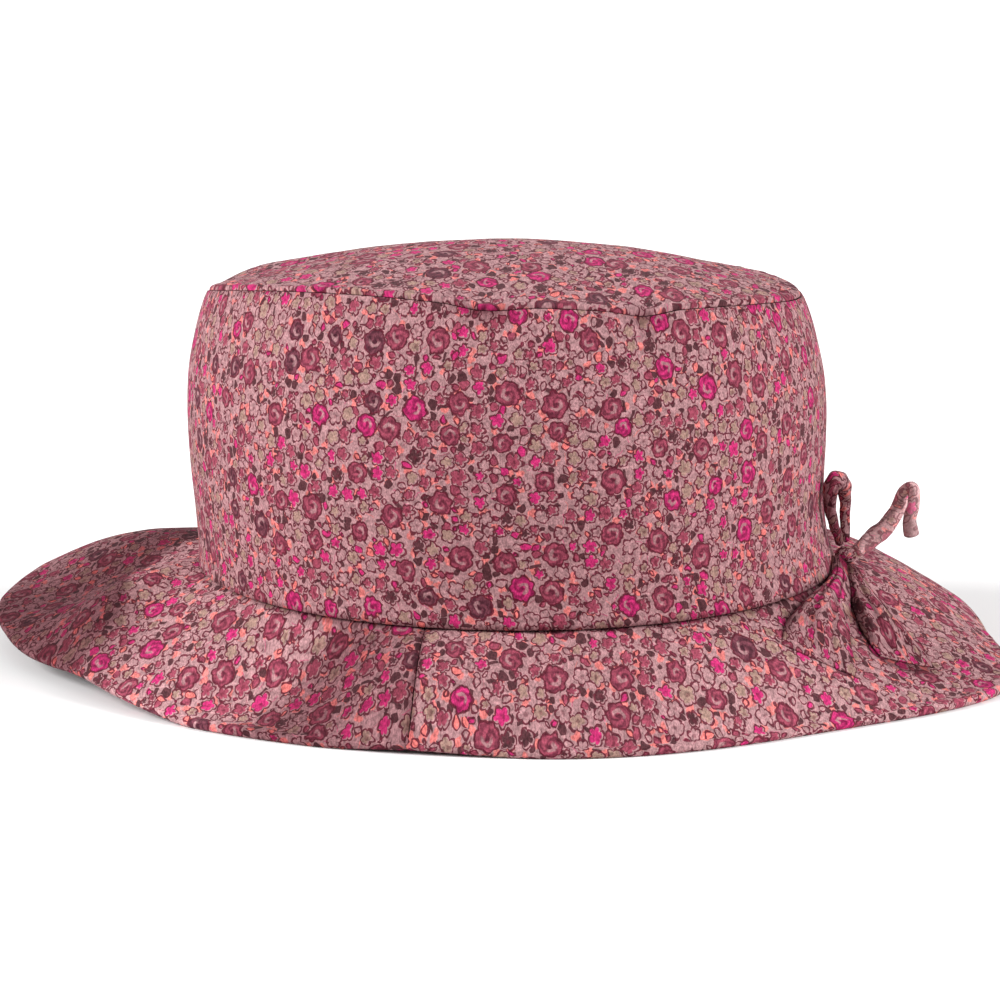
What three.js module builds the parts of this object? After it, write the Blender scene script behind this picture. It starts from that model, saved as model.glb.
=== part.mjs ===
// A child's soft rain hat in printed cotton, standing on its brim on a flat surface.
// Millimetres, +Z up, the wearer's face towards -Y. The origin is the middle of the hat's
// footprint, on the surface that it stands on.
//
// The hat is sewn from an oval tip, a side band and a brim of two panels. A bow of the same
// cotton is sewn on at the base seam, on the wearer's left, which is +X. A small rolled loop
// and a rolled end that curls over stand up from its knot, and two wide gathered ends droop
// over the brim.
import * as THREE from 'three';
import { mergeVertices } from 'three/addons/utils/BufferGeometryUtils.js';

// Cloth
const CROWN_WALL = 1.8; // cotton with its fusing
const BRIM_WALL = 2.2; // two layers of cotton with a stiffened middle
const SEAM_GAP = 0.3; // between two pieces that are sewn together

// How finely the pieces are cut into facets
const RING = 72; // columns around the crown
const BAND_ROWS = 9; // from the base seam to the tip seam
const TIP_ROWS = 6; // from the tip seam to the middle of the crown
const PANEL_COLUMNS = 48; // along one brim panel
const BRIM_ROWS = [0, 0.06, 0.17, 0.3, 0.44, 0.58, 0.72, 0.85, 0.94, 1]; // crown to edge
const ROLL_STEPS = 28; // along a roll
const ROLL_SIDES = 10;
const TAIL_ROWS = 14; // along a wide end of the bow
const TAIL_COLUMNS = 12; // across it
const KNOT_SEGMENTS = { around: 16, down: 10 };
const MERGE_WITHIN = 1e-4; // points this close are one

// Crown: an oval for a 54 cm head, 153 mm wide and 192 mm long at the base seam
const BASE_HALF_WIDTH = 76.3;
const BASE_HALF_LENGTH = 96;
const BASE_HEIGHT = 22; // of the base seam above the surface, at the hat's sides
const BASE_DIP = 1.5; // how much lower the base seam runs at the front and back

// The crown's oval at each height, from the base seam to the tip seam. Widths and lengths
// are halves, of the cloth's outer face. Shift moves the oval towards +X, where it slumps.
const CROWN_SECTIONS = [
  { share: 0.0, width: 76.3, length: 96.0, shift: 4.2 },
  { share: 0.1, width: 75.1, length: 95.0, shift: 3.1 },
  { share: 0.24, width: 75.0, length: 95.2, shift: 2.2 },
  { share: 0.45, width: 76.0, length: 95.6, shift: 1.7 },
  { share: 0.66, width: 75.8, length: 94.6, shift: 1.4 },
  { share: 0.82, width: 74.0, length: 92.0, shift: 1.3 },
  { share: 0.94, width: 71.8, length: 88.8, shift: 1.2 },
  { share: 1.0, width: 70.1, length: 86.6, shift: 1.1 },
];

// The tip seam's height above the surface at each azimuth, counted from +X towards +Y. It
// rises on the wearer's right front and dips at two puckers in the front.
const TIP_SEAM = [
  { azimuth: 0, height: 86.6 },
  { azimuth: 30, height: 87.4 },
  { azimuth: 90, height: 89.4 },
  { azimuth: 145, height: 88.4 },
  { azimuth: 170, height: 86.6 },
  { azimuth: 200, height: 89.2 },
  { azimuth: 228, height: 92.0 },
  { azimuth: 246, height: 92.8 },
  { azimuth: 260, height: 91.9 },
  { azimuth: 267, height: 90.2 },
  { azimuth: 275, height: 90.7 },
  { azimuth: 285, height: 89.6 },
  { azimuth: 291, height: 88.2 },
  { azimuth: 298, height: 89.1 },
  { azimuth: 315, height: 88.6 },
  { azimuth: 340, height: 87.1 },
];
const TIP_HEIGHT = 88; // of the tip seam, on the whole
const DOME = 9.3; // of the tip's middle above that
const TIP_SETTLE = 2; // higher makes the seam's waves fade sooner towards the tip's middle

// The brim's edge at each azimuth, counted from +X towards +Y. Reach is from the middle of
// the hat, lift is above the surface, and bow is how far the cloth arches up half-way out.
const BRIM_EDGE = [
  { azimuth: 0, reach: 119.0, lift: 0, bow: 2.5 },
  { azimuth: 22, reach: 124.5, lift: 3.4, bow: 2.5 },
  { azimuth: 42, reach: 131.0, lift: 7.8, bow: 2.0 },
  { azimuth: 66, reach: 136.0, lift: 3.5, bow: 1.5 },
  { azimuth: 90, reach: 139.0, lift: 0, bow: 1.5 },
  { azimuth: 114, reach: 136.5, lift: 3.0, bow: 1.0 },
  { azimuth: 140, reach: 133.5, lift: 10.2, bow: 0.5 },
  { azimuth: 165, reach: 126.5, lift: 8.2, bow: 0 },
  { azimuth: 185, reach: 119.6, lift: 6.1, bow: 0 },
  { azimuth: 196, reach: 116.9, lift: 4.5, bow: 0.3 },
  { azimuth: 207, reach: 114.6, lift: 3.9, bow: 0.5 },
  { azimuth: 217, reach: 115.8, lift: 4.3, bow: 0.3 },
  { azimuth: 226, reach: 118.3, lift: 2.8, bow: 0 },
  { azimuth: 245, reach: 125.5, lift: 0, bow: 0 },
  { azimuth: 262, reach: 132.5, lift: 1.0, bow: 1.5 },
  { azimuth: 280, reach: 136.0, lift: 0, bow: 1.5 },
  { azimuth: 305, reach: 127.5, lift: 0.4, bow: 1.0 },
  { azimuth: 330, reach: 130.0, lift: 0, bow: -0.5 },
  { azimuth: 346, reach: 123.2, lift: 0, bow: 0.5 },
];

// Soft folds that run out across the brim, from one azimuth at the crown to another at the
// edge. Height is at the fold's middle, up or down, and spread is its half-width in degrees.
const BRIM_FOLDS = [
  { crown: 184, edge: 208, height: 5.2, spread: 9 },
  { crown: 164, edge: 178, height: -2.0, spread: 11 },
  { crown: 243, edge: 240, height: -4.4, spread: 10 },
  { crown: 257, edge: 262, height: 2.6, spread: 7 },
  { crown: 40, edge: 46, height: 2.0, spread: 14 },
  { crown: 100, edge: 92, height: -2.0, spread: 15 },
  { crown: 160, edge: 148, height: 4.6, spread: 15 },
  { crown: 328, edge: 324, height: -2.8, spread: 20 },
];
const BRIM_TWIST = 4.3; // degrees that the panels' seams lean between crown and edge
const BRIM_SEAMS = [77.3, 257.3]; // azimuths where the two panels meet at the crown
const BRIM_REST = 1.2; // how far the edge is pressed down where it rests
const FLATTENED = 0.3; // cloth this much above its thickness is pressed down flat too

// Bow. It is tied close beside the crown, and each piece stops short of the knot.
const KNOT_CENTRE = new THREE.Vector3(81.8, -15.2, 24.4);
const KNOT_SIZE = { out: 5.4, along: 5.2, high: 4.6 };
const TAIL_WALL = 1.4; // a folded strip of the same cotton, left soft

// The middle of the rolled loop beside the crown, from the knot round to the knot. Thick is
// the roll's thickness, which the knot squeezes.
const LOOP_ROLL = [
  { x: 81.9, y: -13.6, z: 27.2, thick: 2.0 },
  { x: 81.7, y: -12.8, z: 30.6, thick: 2.3 },
  { x: 81.7, y: -12.4, z: 34.4, thick: 2.5 },
  { x: 81.6, y: -13.2, z: 37.8, thick: 2.9 },
  { x: 81.0, y: -16.0, z: 41.1, thick: 3.8 },
  { x: 79.2, y: -20.5, z: 43.2, thick: 4.4 },
  { x: 77.6, y: -24.0, z: 42.5, thick: 3.8 },
  { x: 77.0, y: -25.4, z: 39.8, thick: 3.1 },
  { x: 77.2, y: -24.6, z: 36.6, thick: 2.8 },
  { x: 78.3, y: -21.8, z: 32.9, thick: 2.4 },
  { x: 79.7, y: -18.6, z: 29.4, thick: 2.1 },
  { x: 80.3, y: -17.3, z: 27.2, thick: 1.9 },
];

// The middle of the rolled end that curls over, from the knot to its tip.
const CURL_ROLL = [
  { x: 84.6, y: -14.6, z: 25.6, thick: 2.8 },
  { x: 86.8, y: -14.0, z: 27.2, thick: 4.2 },
  { x: 89.3, y: -13.2, z: 29.0, thick: 4.3 },
  { x: 91.8, y: -12.4, z: 31.1, thick: 4.0 },
  { x: 93.6, y: -12.0, z: 33.8, thick: 3.7 },
  { x: 94.9, y: -12.2, z: 36.5, thick: 3.4 },
  { x: 95.6, y: -13.0, z: 39.1, thick: 3.1 },
  { x: 97.0, y: -14.6, z: 40.6, thick: 2.9 },
  { x: 97.8, y: -16.4, z: 39.5, thick: 2.8 },
  { x: 97.4, y: -17.6, z: 36.8, thick: 2.9 },
  { x: 96.7, y: -17.8, z: 34.0, thick: 3.1 },
  { x: 96.8, y: -17.6, z: 31.3, thick: 3.6 },
  { x: 97.1, y: -17.4, z: 29.1, thick: 3.8 },
];

// The two wide ends, gathered at the knot, that droop over the brim. Each row gives the middle
// in plan, half the width, the gap to the brim under the edges, and the arch between them.
const FRONT_TAIL = [
  { along: 0, x: 79.9, y: -18.3, half: 1.5, gap: 3.4, arch: 0.6 },
  { along: 0.2, x: 79.2, y: -31.0, half: 2.3, gap: 1.6, arch: 1.8 },
  { along: 0.4, x: 76.9, y: -44.0, half: 3.6, gap: 0.8, arch: 3.2 },
  { along: 0.6, x: 74.0, y: -56.5, half: 5.4, gap: 0.6, arch: 3.8 },
  { along: 0.8, x: 71.6, y: -69.0, half: 7.4, gap: 0.5, arch: 2.6 },
  { along: 1, x: 70.9, y: -80.5, half: 8.4, gap: 0.5, arch: 0.3 },
];
const SIDE_TAIL = [
  { along: 0, x: 83.3, y: -18.0, half: 1.5, gap: 3.2, arch: 0.6 },
  { along: 0.2, x: 84.5, y: -26.0, half: 2.8, gap: 1.8, arch: 1.6 },
  { along: 0.4, x: 85.9, y: -34.0, half: 4.6, gap: 0.8, arch: 2.8 },
  { along: 0.6, x: 87.7, y: -42.5, half: 6.2, gap: 0.6, arch: 3.2 },
  { along: 0.8, x: 89.8, y: -51.0, half: 7.0, gap: 0.5, arch: 2.0 },
  { along: 1, x: 92.2, y: -58.5, half: 6.6, gap: 0.5, arch: 0.3 },
];
const TAIL_PLEATS = 3; // soft pleats across a wide end, fanning out from the knot
const TAIL_PLEAT = 0.5; // their height, which fades out at the hem
const TAIL_AHEAD = 0.02; // share of its length over which its direction is taken
const PLAN_STEPS = 12; // tries at finding a place in plan on the brim

const PRINT = { color: 0xa5636d, roughness: 0.85, metalness: 0 };

const radians = THREE.MathUtils.degToRad;
const lerp = THREE.MathUtils.lerp;

// A smooth curve through table rows that come back to the first after 360 degrees.
function aroundTable(rows, azimuth, column) {
  const count = rows.length;
  const angle = THREE.MathUtils.euclideanModulo(azimuth - rows[0].azimuth, 360) + rows[0].azimuth;
  let at = count - 1;
  while (at > 0 && rows[at].azimuth > angle) at -= 1;
  const knot = (step) => {
    const turn = Math.floor((at + step) / count);
    const row = rows[THREE.MathUtils.euclideanModulo(at + step, count)];
    return { x: row.azimuth + 360 * turn, y: row[column] };
  };
  return hermite(knot(-1), knot(0), knot(1), knot(2), angle);
}

// A smooth curve through table rows from the first to the last.
function alongTable(rows, place, key, column) {
  let at = 0;
  while (at < rows.length - 2 && rows[at + 1][key] < place) at += 1;
  const knot = (index) => {
    const row = rows[THREE.MathUtils.clamp(index, 0, rows.length - 1)];
    return { x: row[key], y: row[column] };
  };
  return hermite(knot(at - 1), knot(at), knot(at + 1), knot(at + 2), place);
}

function hermite(before, from, to, after, x) {
  const span = to.x - from.x;
  const t = (x - from.x) / span;
  const slopeFrom = (to.y - before.y) / (to.x - before.x);
  const slopeTo = (after.y - from.y) / (after.x - from.x);
  const t2 = t * t;
  const t3 = t2 * t;
  return (2 * t3 - 3 * t2 + 1) * from.y + (t3 - 2 * t2 + t) * span * slopeFrom
    + (3 * t2 - 2 * t3) * to.y + (t3 - t2) * span * slopeTo;
}

// The distance from an oval's middle to its rim.
function ovalReach(halfWidth, halfLength, azimuth) {
  const angle = radians(azimuth);
  return 1 / Math.hypot(Math.cos(angle) / halfWidth, Math.sin(angle) / halfLength);
}

function ovalPoint(halfWidth, halfLength, shift, azimuth, height) {
  const reach = ovalReach(halfWidth, halfLength, azimuth);
  const angle = radians(azimuth);
  return new THREE.Vector3(shift + reach * Math.cos(angle), reach * Math.sin(angle), height);
}

// Turns a grid of points on a cloth's outer face into a wall behind it. The wall lies where
// the rows' direction crossed with the direction along a row points. Where it comes down to
// the surface that the hat stands on, its underside lies flat on it.
function clothWall(rows, wall, { closed = false, levelEnds = false } = {}) {
  const last = rows.length - 1;
  const width = rows[0].length;
  const around = (i) => (closed ? (i + width) % width : THREE.MathUtils.clamp(i, 0, width - 1));
  const inner = rows.map((row, j) => row.map((point, i) => {
    const across = rows[j][around(i + 1)].clone().sub(rows[j][around(i - 1)]);
    const along = rows[Math.min(j + 1, last)][i].clone().sub(rows[Math.max(j - 1, 0)][i]);
    const inward = along.clone().cross(across).normalize();
    const behind = point.clone().addScaledVector(inward, wall);
    if (levelEnds && (j === 0 || j === last)) behind.z = point.z;
    if (point.z < wall + FLATTENED) behind.z = 0;
    return behind;
  }));
  const points = [...rows.flat(), ...inner.flat()];
  const back = rows.length * width;
  const faces = [];
  const quad = (a, b, c, d) => faces.push(a, b, c, a, c, d);
  const spans = closed ? width : width - 1;
  for (let j = 0; j < last; j += 1) {
    for (let i = 0; i < spans; i += 1) {
      const a = j * width + i;
      const b = j * width + around(i + 1);
      quad(a, b, b + width, a + width);
      quad(back + a, back + a + width, back + b + width, back + b);
    }
  }
  for (let i = 0; i < spans; i += 1) {
    const b = around(i + 1);
    quad(i, back + i, back + b, b);
    quad(last * width + i, last * width + b, back + last * width + b, back + last * width + i);
  }
  if (!closed) {
    for (let j = 0; j < last; j += 1) {
      const a = j * width;
      const b = a + width - 1;
      quad(a, a + width, back + a + width, back + a);
      quad(b, back + b, back + b + width, b + width);
    }
  }
  return closedGeometry(points, faces);
}

// Merges shared points, drops faces with no area, and turns the faces outwards.
function closedGeometry(points, faces) {
  const loose = new THREE.BufferGeometry().setFromPoints(points);
  loose.setIndex(faces);
  const merged = mergeVertices(loose, MERGE_WITHIN);
  const place = merged.getAttribute('position');
  const index = merged.getIndex().array;
  const corner = [0, 1, 2].map(() => new THREE.Vector3());
  const kept = [];
  let volume = 0;
  for (let f = 0; f < index.length; f += 3) {
    const [a, b, c] = index.slice(f, f + 3);
    if (a === b || b === c || a === c) continue;
    kept.push(a, b, c);
    [a, b, c].forEach((v, k) => corner[k].fromBufferAttribute(place, v));
    volume += corner[0].dot(corner[1].clone().cross(corner[2]));
  }
  if (volume < 0) kept.reverse();
  merged.setIndex(kept);
  return merged;
}

function evenSteps(from, to, count) {
  return Array.from({ length: count + 1 }, (_, i) => lerp(from, to, i / count));
}

function ringAzimuths(count) {
  return evenSteps(0, 360, count).slice(0, -1);
}

// The seams
function baseSeamHeight(azimuth) {
  return BASE_HEIGHT - BASE_DIP * Math.sin(radians(azimuth)) ** 2;
}

function tipSeamHeight(azimuth) {
  return aroundTable(TIP_SEAM, azimuth, 'height');
}

// A point on the crown's side, where share runs from the base seam to the tip seam.
function bandPoint(azimuth, share) {
  const size = (column) => alongTable(CROWN_SECTIONS, share, 'share', column);
  const height = lerp(baseSeamHeight(azimuth), tipSeamHeight(azimuth), share);
  return ovalPoint(size('width'), size('length'), size('shift'), azimuth, height);
}

// A point on the tip, where share runs from its seam to the middle of the crown.
function tipPoint(azimuth, share) {
  const seam = bandPoint(azimuth, 1);
  const shift = CROWN_SECTIONS.at(-1).shift;
  const dome = DOME * Math.sin((share * Math.PI) / 2);
  const level = lerp(TIP_HEIGHT, seam.z, (1 - share) ** TIP_SETTLE);
  return new THREE.Vector3(lerp(seam.x, shift, share), lerp(seam.y, 0, share), level + dome);
}

// A point on the brim's upper face, where share runs from the crown to the edge.
function brimPoint(azimuth, share) {
  const edge = (column) => aroundTable(BRIM_EDGE, azimuth + BRIM_TWIST, column);
  const inner = ovalPoint(BASE_HALF_WIDTH, BASE_HALF_LENGTH, CROWN_SECTIONS[0].shift, azimuth,
    baseSeamHeight(azimuth) - SEAM_GAP);
  const outwards = inner.clone().setZ(0).normalize();
  inner.addScaledVector(outwards, -CROWN_WALL);
  const angle = radians(azimuth + BRIM_TWIST);
  const reach = edge('reach');
  const height = edge('lift') + BRIM_WALL - BRIM_REST;
  const outer = new THREE.Vector3(reach * Math.cos(angle), reach * Math.sin(angle), height);
  const point = inner.lerp(outer, share);
  point.z += 4 * edge('bow') * share * (1 - share);
  for (const fold of BRIM_FOLDS) {
    const middle = lerp(fold.crown, fold.edge, share);
    const here = azimuth + BRIM_TWIST * share;
    const away = (THREE.MathUtils.euclideanModulo(here - middle + 180, 360) - 180) / fold.spread;
    point.z += fold.height * Math.exp(-away * away) * Math.sin(Math.PI * share);
  }
  point.z = Math.max(point.z, BRIM_WALL);
  return point;
}

// The height of the brim's upper face at a place in plan.
function brimHeight(x, y) {
  let azimuth = THREE.MathUtils.radToDeg(Math.atan2(y, x));
  let share = 0.5;
  for (let step = 0; step < PLAN_STEPS; step += 1) {
    const inner = brimPoint(azimuth, 0);
    const outer = brimPoint(azimuth, 1);
    const radial = Math.hypot(outer.x - inner.x, outer.y - inner.y);
    const outwards = (x - inner.x) * (outer.x - inner.x) + (y - inner.y) * (outer.y - inner.y);
    share = outwards / radial ** 2;
    const here = brimPoint(azimuth, share);
    azimuth += THREE.MathUtils.radToDeg(Math.atan2(y, x) - Math.atan2(here.y, here.x));
  }
  return brimPoint(azimuth, share).z;
}

// A roll of cloth along a table of its middle points, closed at both ends.
function clothRoll(table) {
  const middles = table.map((row) => new THREE.Vector3(row.x, row.y, row.z));
  const curve = new THREE.CatmullRomCurve3(middles);
  const frames = curve.computeFrenetFrames(ROLL_STEPS, false);
  const rows = evenSteps(0, 1, ROLL_STEPS).map((share, j) => {
    const middle = curve.getPointAt(share);
    const knot = curve.getUtoTmapping(share) * (table.length - 1);
    const from = Math.min(Math.floor(knot), table.length - 2);
    const radius = lerp(table[from].thick, table[from + 1].thick, knot - from) / 2;
    return ringAzimuths(ROLL_SIDES).map((turn) => middle.clone()
      .addScaledVector(frames.normals[j], radius * Math.cos(radians(turn)))
      .addScaledVector(frames.binormals[j], radius * Math.sin(radians(turn))));
  });
  const points = [curve.getPointAt(0), ...rows.flat(), curve.getPointAt(1)];
  const faces = [];
  const end = points.length - 1;
  for (let i = 0; i < ROLL_SIDES; i += 1) {
    const next = (i + 1) % ROLL_SIDES;
    faces.push(0, 1 + next, 1 + i, end, end - ROLL_SIDES + i, end - ROLL_SIDES + next);
    for (let j = 0; j < ROLL_STEPS; j += 1) {
      const a = 1 + j * ROLL_SIDES;
      const b = a + ROLL_SIDES;
      faces.push(a + i, a + next, b + next, a + i, b + next, b + i);
    }
  }
  return closedGeometry(points, faces);
}

// A wide end of the bow, as an arched and pleated wall that lies over the brim.
function drapedTail(table) {
  const rows = evenSteps(0, 1, TAIL_ROWS).map((along) => {
    const at = (column, place = along) => alongTable(table, place, 'along', column);
    const ahead = Math.min(1, along + TAIL_AHEAD);
    const behind = Math.max(0, along - TAIL_AHEAD);
    const run = new THREE.Vector2(at('x', ahead) - at('x', behind), at('y', ahead) - at('y', behind));
    run.normalize();
    return evenSteps(-1, 1, TAIL_COLUMNS).map((across) => {
      const x = at('x') + run.y * across * at('half');
      const y = at('y') - run.x * across * at('half');
      const gathered = TAIL_PLEAT * along * (1 - along ** 4);
      const pleat = gathered * (1 - Math.cos(TAIL_PLEATS * Math.PI * (across + 1)));
      const height = at('gap') + at('arch') * Math.cos((across * Math.PI) / 2) + pleat;
      return new THREE.Vector3(x, y, brimHeight(x, y) + height + TAIL_WALL);
    });
  });
  return clothWall(rows, TAIL_WALL);
}

function bowKnot() {
  const knot = new THREE.SphereGeometry(0.5, KNOT_SEGMENTS.around, KNOT_SEGMENTS.down);
  knot.deleteAttribute('normal');
  knot.deleteAttribute('uv');
  knot.scale(KNOT_SIZE.out, KNOT_SIZE.along, KNOT_SIZE.high);
  knot.translate(KNOT_CENTRE.x, KNOT_CENTRE.y, KNOT_CENTRE.z);
  return mergeVertices(knot, MERGE_WITHIN);
}

// The pieces of the hat
function crownBand() {
  const underTip = 1 - (CROWN_WALL + SEAM_GAP) / (TIP_HEIGHT - BASE_HEIGHT);
  const rows = evenSteps(0, underTip, BAND_ROWS).map((share) => (
    ringAzimuths(RING).map((azimuth) => bandPoint(azimuth, share))
  ));
  return clothWall(rows, CROWN_WALL, { closed: true, levelEnds: true });
}

function crownTip() {
  const rows = evenSteps(0, 1, TIP_ROWS).map((share) => (
    ringAzimuths(RING).map((azimuth) => tipPoint(azimuth, share))
  ));
  return clothWall(rows, CROWN_WALL, { closed: true });
}

function brimPanel(from, to) {
  const slit = THREE.MathUtils.radToDeg(SEAM_GAP / BASE_HALF_WIDTH);
  const azimuths = evenSteps(to - slit, from + slit, PANEL_COLUMNS);
  const rows = BRIM_ROWS.map((share) => azimuths.map((azimuth) => brimPoint(azimuth, share)));
  return clothWall(rows, BRIM_WALL);
}

const hat = new THREE.Group();
const cotton = () => new THREE.MeshStandardMaterial(PRINT);

function addPiece(name, geometry) {
  const mesh = new THREE.Mesh(geometry, cotton());
  mesh.name = name;
  hat.add(mesh);
}

addPiece('crown_band', crownBand());
addPiece('crown_tip', crownTip());
addPiece('brim_right_panel', brimPanel(BRIM_SEAMS[0], BRIM_SEAMS[1]));
addPiece('brim_left_panel', brimPanel(BRIM_SEAMS[1], BRIM_SEAMS[0] + 360));
addPiece('bow_knot', bowKnot());
addPiece('bow_loop', clothRoll(LOOP_ROLL));
addPiece('bow_curl', clothRoll(CURL_ROLL));
addPiece('bow_tail_front', drapedTail(FRONT_TAIL));
addPiece('bow_tail_side', drapedTail(SIDE_TAIL));

// The origin is the middle of the footprint.
const footprint = new THREE.Box3().setFromObject(hat);
const middle = footprint.getCenter(new THREE.Vector3());
hat.position.set(-middle.x, -middle.y, -footprint.min.z);

export default hat;
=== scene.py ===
import functools
import math

import bmesh
import bpy
from bpy.props import FloatProperty, FloatVectorProperty, PointerProperty
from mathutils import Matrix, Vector, noise


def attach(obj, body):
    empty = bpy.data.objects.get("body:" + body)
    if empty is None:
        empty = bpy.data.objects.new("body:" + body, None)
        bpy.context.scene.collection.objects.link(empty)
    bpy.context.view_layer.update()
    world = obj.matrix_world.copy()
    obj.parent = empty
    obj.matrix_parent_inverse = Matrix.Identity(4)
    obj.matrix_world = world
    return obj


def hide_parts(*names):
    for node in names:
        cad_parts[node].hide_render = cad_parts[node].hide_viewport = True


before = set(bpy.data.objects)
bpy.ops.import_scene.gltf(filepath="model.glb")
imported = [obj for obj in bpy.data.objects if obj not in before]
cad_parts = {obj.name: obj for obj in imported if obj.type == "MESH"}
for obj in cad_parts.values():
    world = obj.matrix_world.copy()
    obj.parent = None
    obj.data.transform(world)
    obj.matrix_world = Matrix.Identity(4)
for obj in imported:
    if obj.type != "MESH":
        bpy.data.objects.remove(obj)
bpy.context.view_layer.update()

bl_info = {
    "name": "Printed Cotton Rain Hat",
    "version": (1, 0, 0),
    "blender": (4, 5, 0),
    "location": "3D View > Sidebar > Rain Hat",
    "description": "Models a child's soft rain hat in printed cotton, piece by piece",
    "category": "Add Mesh",
}

BODY = "root"
MM = 0.001

# The hat's own sizes in millimetres, as its frame has them.
FOOTPRINT_SHIFT = (1.6038, -1.7674)  # from the middle of the crown to the middle of the hat
SEAM_GAP = 0.3
SEAM_LINE = 0.12  # between two pieces of cloth that are sewn together
SEAM_CORNER = 0.22  # how round their edges are turned there
TIP_SEAM_LINE = 0.01  # the same two at the tip, whose seam is pressed flat
TIP_SEAM_CORNER = 0.03
TIP_DENTS = ((267, 4.5), (291, 2.5))  # azimuth and half-width of the puckers under the tip
SLACK_SEAM = (200, 24)  # azimuth and half-width in degrees of the base seam's slackest stretch
SLACK = 0.85
BASE_HALF_WIDTH = 76.3
BASE_HALF_LENGTH = 96.0
BASE_HEIGHT = 22.0
BASE_DIP = 1.5
CROWN_SECTIONS = (
    # share of the height, half width, half length, shift towards the bow
    (0.0, 76.3, 96.0, 4.2), (0.1, 75.1, 95.0, 3.1), (0.24, 75.0, 95.2, 2.2),
    (0.45, 76.0, 95.6, 1.7), (0.66, 75.8, 94.6, 1.4), (0.82, 74.0, 92.0, 1.3),
    (0.94, 71.8, 88.8, 1.2), (1.0, 70.1, 86.6, 1.1),
)
TIP_SEAM = (
    # azimuth, height of the tip seam
    (0, 86.6), (30, 87.4), (90, 89.4), (145, 88.4), (170, 86.6), (200, 89.2), (228, 92.0),
    (246, 92.8), (260, 91.9), (267, 90.2), (275, 90.7), (285, 89.6), (291, 88.2), (298, 89.1),
    (315, 88.6), (340, 87.1),
)
TIP_HEIGHT = 88.0
DOME = 9.3
TIP_SETTLE = 2  # how soon the dips of its seam even out towards the middle
BRIM_EDGE = (
    # azimuth, reach, lift, bow
    (0, 119.0, 0, 2.5), (22, 124.5, 3.4, 2.5), (42, 131.0, 7.8, 2.0), (66, 136.0, 3.5, 1.5),
    (90, 139.0, 0, 1.5), (114, 136.5, 3.0, 1.0), (140, 133.5, 10.2, 0.5), (165, 126.5, 8.2, 0),
    (185, 119.6, 6.1, 0), (196, 116.9, 4.5, 0.3), (207, 114.6, 3.9, 0.5),
    (217, 115.8, 4.3, 0.3), (226, 118.3, 2.8, 0), (245, 125.5, 0, 0), (262, 132.5, 1.0, 1.5),
    (280, 136.0, 0, 1.5), (305, 127.5, 0.4, 1.0), (330, 130.0, 0, -0.5), (346, 123.2, 0, 0.5),
)
BRIM_FOLDS = (
    # azimuth at the crown, azimuth at the edge, height, spread in degrees
    (184, 208, 5.2, 9), (164, 178, -2.0, 11), (243, 240, -4.4, 10), (257, 262, 2.6, 7),
    (40, 46, 2.0, 14), (100, 92, -2.0, 15), (160, 148, 4.6, 15), (328, 324, -2.8, 20),
)
CREASE_LINE = (
    # share of the way out, azimuth of the crease where the brim's painted light ends and its
    # painted shade begins
    (0, 144), (0.25, 167), (0.5, 203), (1, 217),
)
FLUTE_START = 243  # azimuth where the hollow before the panel seam begins
# How much painted shade darkens the cloth beyond the crease and in the hollow, and how much painted
# light pales it between the two and on the bow's side
PAINTED_SHADE_BEYOND_CREASE, PAINTED_SHADE_IN_FLUTE, PAINTED_LIGHT_ON_BAND, PAINTED_LIGHT_BY_BOW = 0.8, 0.62, 0.42, 0.28
PAINTED_SHADOW_OFFSET = (1.0, 0.8)  # how far from a place on the brim, towards the light, lie the bow's ends that paint their shadow on it
PAINTED_SHADOW_REACH = 1.2
BRIM_TWIST = 4.3  # degrees that the brim's edge is turned against its inner side
BRIM_SEAMS = (77.3, 257.3)
BRIM_REST = 1.2  # how much of the wall lies below the edge's own line
BRIM_WIDTH = 48.0
BRIM_REACH = 132  # its usual reach from the crown's middle
KNOT_CENTRE = (81.8, -15.2, 24.4)
KNOT_SIZE = (5.4, 5.2, 4.6)
KNOT_CLOTH = (15, 8)  # how much cloth goes round it and across it
LOOP_ROLL = (
    # x, y, z and thickness along the rolled loop
    (81.9, -13.6, 27.2, 2.0), (81.7, -12.8, 30.6, 2.3), (81.7, -12.4, 34.4, 2.5),
    (81.6, -13.2, 37.8, 2.9), (81.0, -16.0, 41.1, 3.8), (79.2, -20.5, 43.2, 4.4),
    (77.6, -24.0, 42.5, 3.8), (77.0, -25.4, 39.8, 3.1), (77.2, -24.6, 36.6, 2.8),
    (78.3, -21.8, 32.9, 2.4), (79.7, -18.6, 29.4, 2.1), (80.3, -17.3, 27.2, 1.9),
)
CURL_ROLL = (
    # x, y, z and thickness along the end that curls over
    (83.9, -15.0, 25.0, 2.9), (86.8, -14.0, 27.2, 4.2), (89.3, -13.2, 29.0, 4.3),
    (91.8, -12.4, 31.1, 4.0), (93.6, -12.0, 33.8, 3.7), (94.9, -12.2, 36.5, 3.4),
    (95.6, -13.0, 39.1, 3.1), (97.0, -14.6, 40.6, 2.9), (97.8, -16.4, 39.5, 2.8),
    (97.4, -17.6, 36.8, 2.9), (96.7, -17.8, 34.0, 3.1), (96.8, -17.6, 31.3, 3.6),
    (97.1, -17.4, 29.1, 3.8),
)
ROLL_CLOTH = 9  # how much cloth goes round a roll
LAP = 0.08  # where round the roll its edge lies, as a share of a turn
FRONT_TAIL = (
    # share of the length, x, y, half width, gap to the brim, arch
    (0, 79.9, -18.3, 1.5, 3.4, 0.6), (0.2, 79.2, -31.0, 2.3, 1.6, 1.8),
    (0.4, 76.9, -44.0, 3.6, 0.8, 3.2), (0.6, 74.0, -56.5, 5.4, 0.6, 3.8),
    (0.8, 71.6, -69.0, 7.4, 0.5, 2.6), (1, 70.9, -80.5, 8.4, 0.5, 0.3),
)
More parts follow.
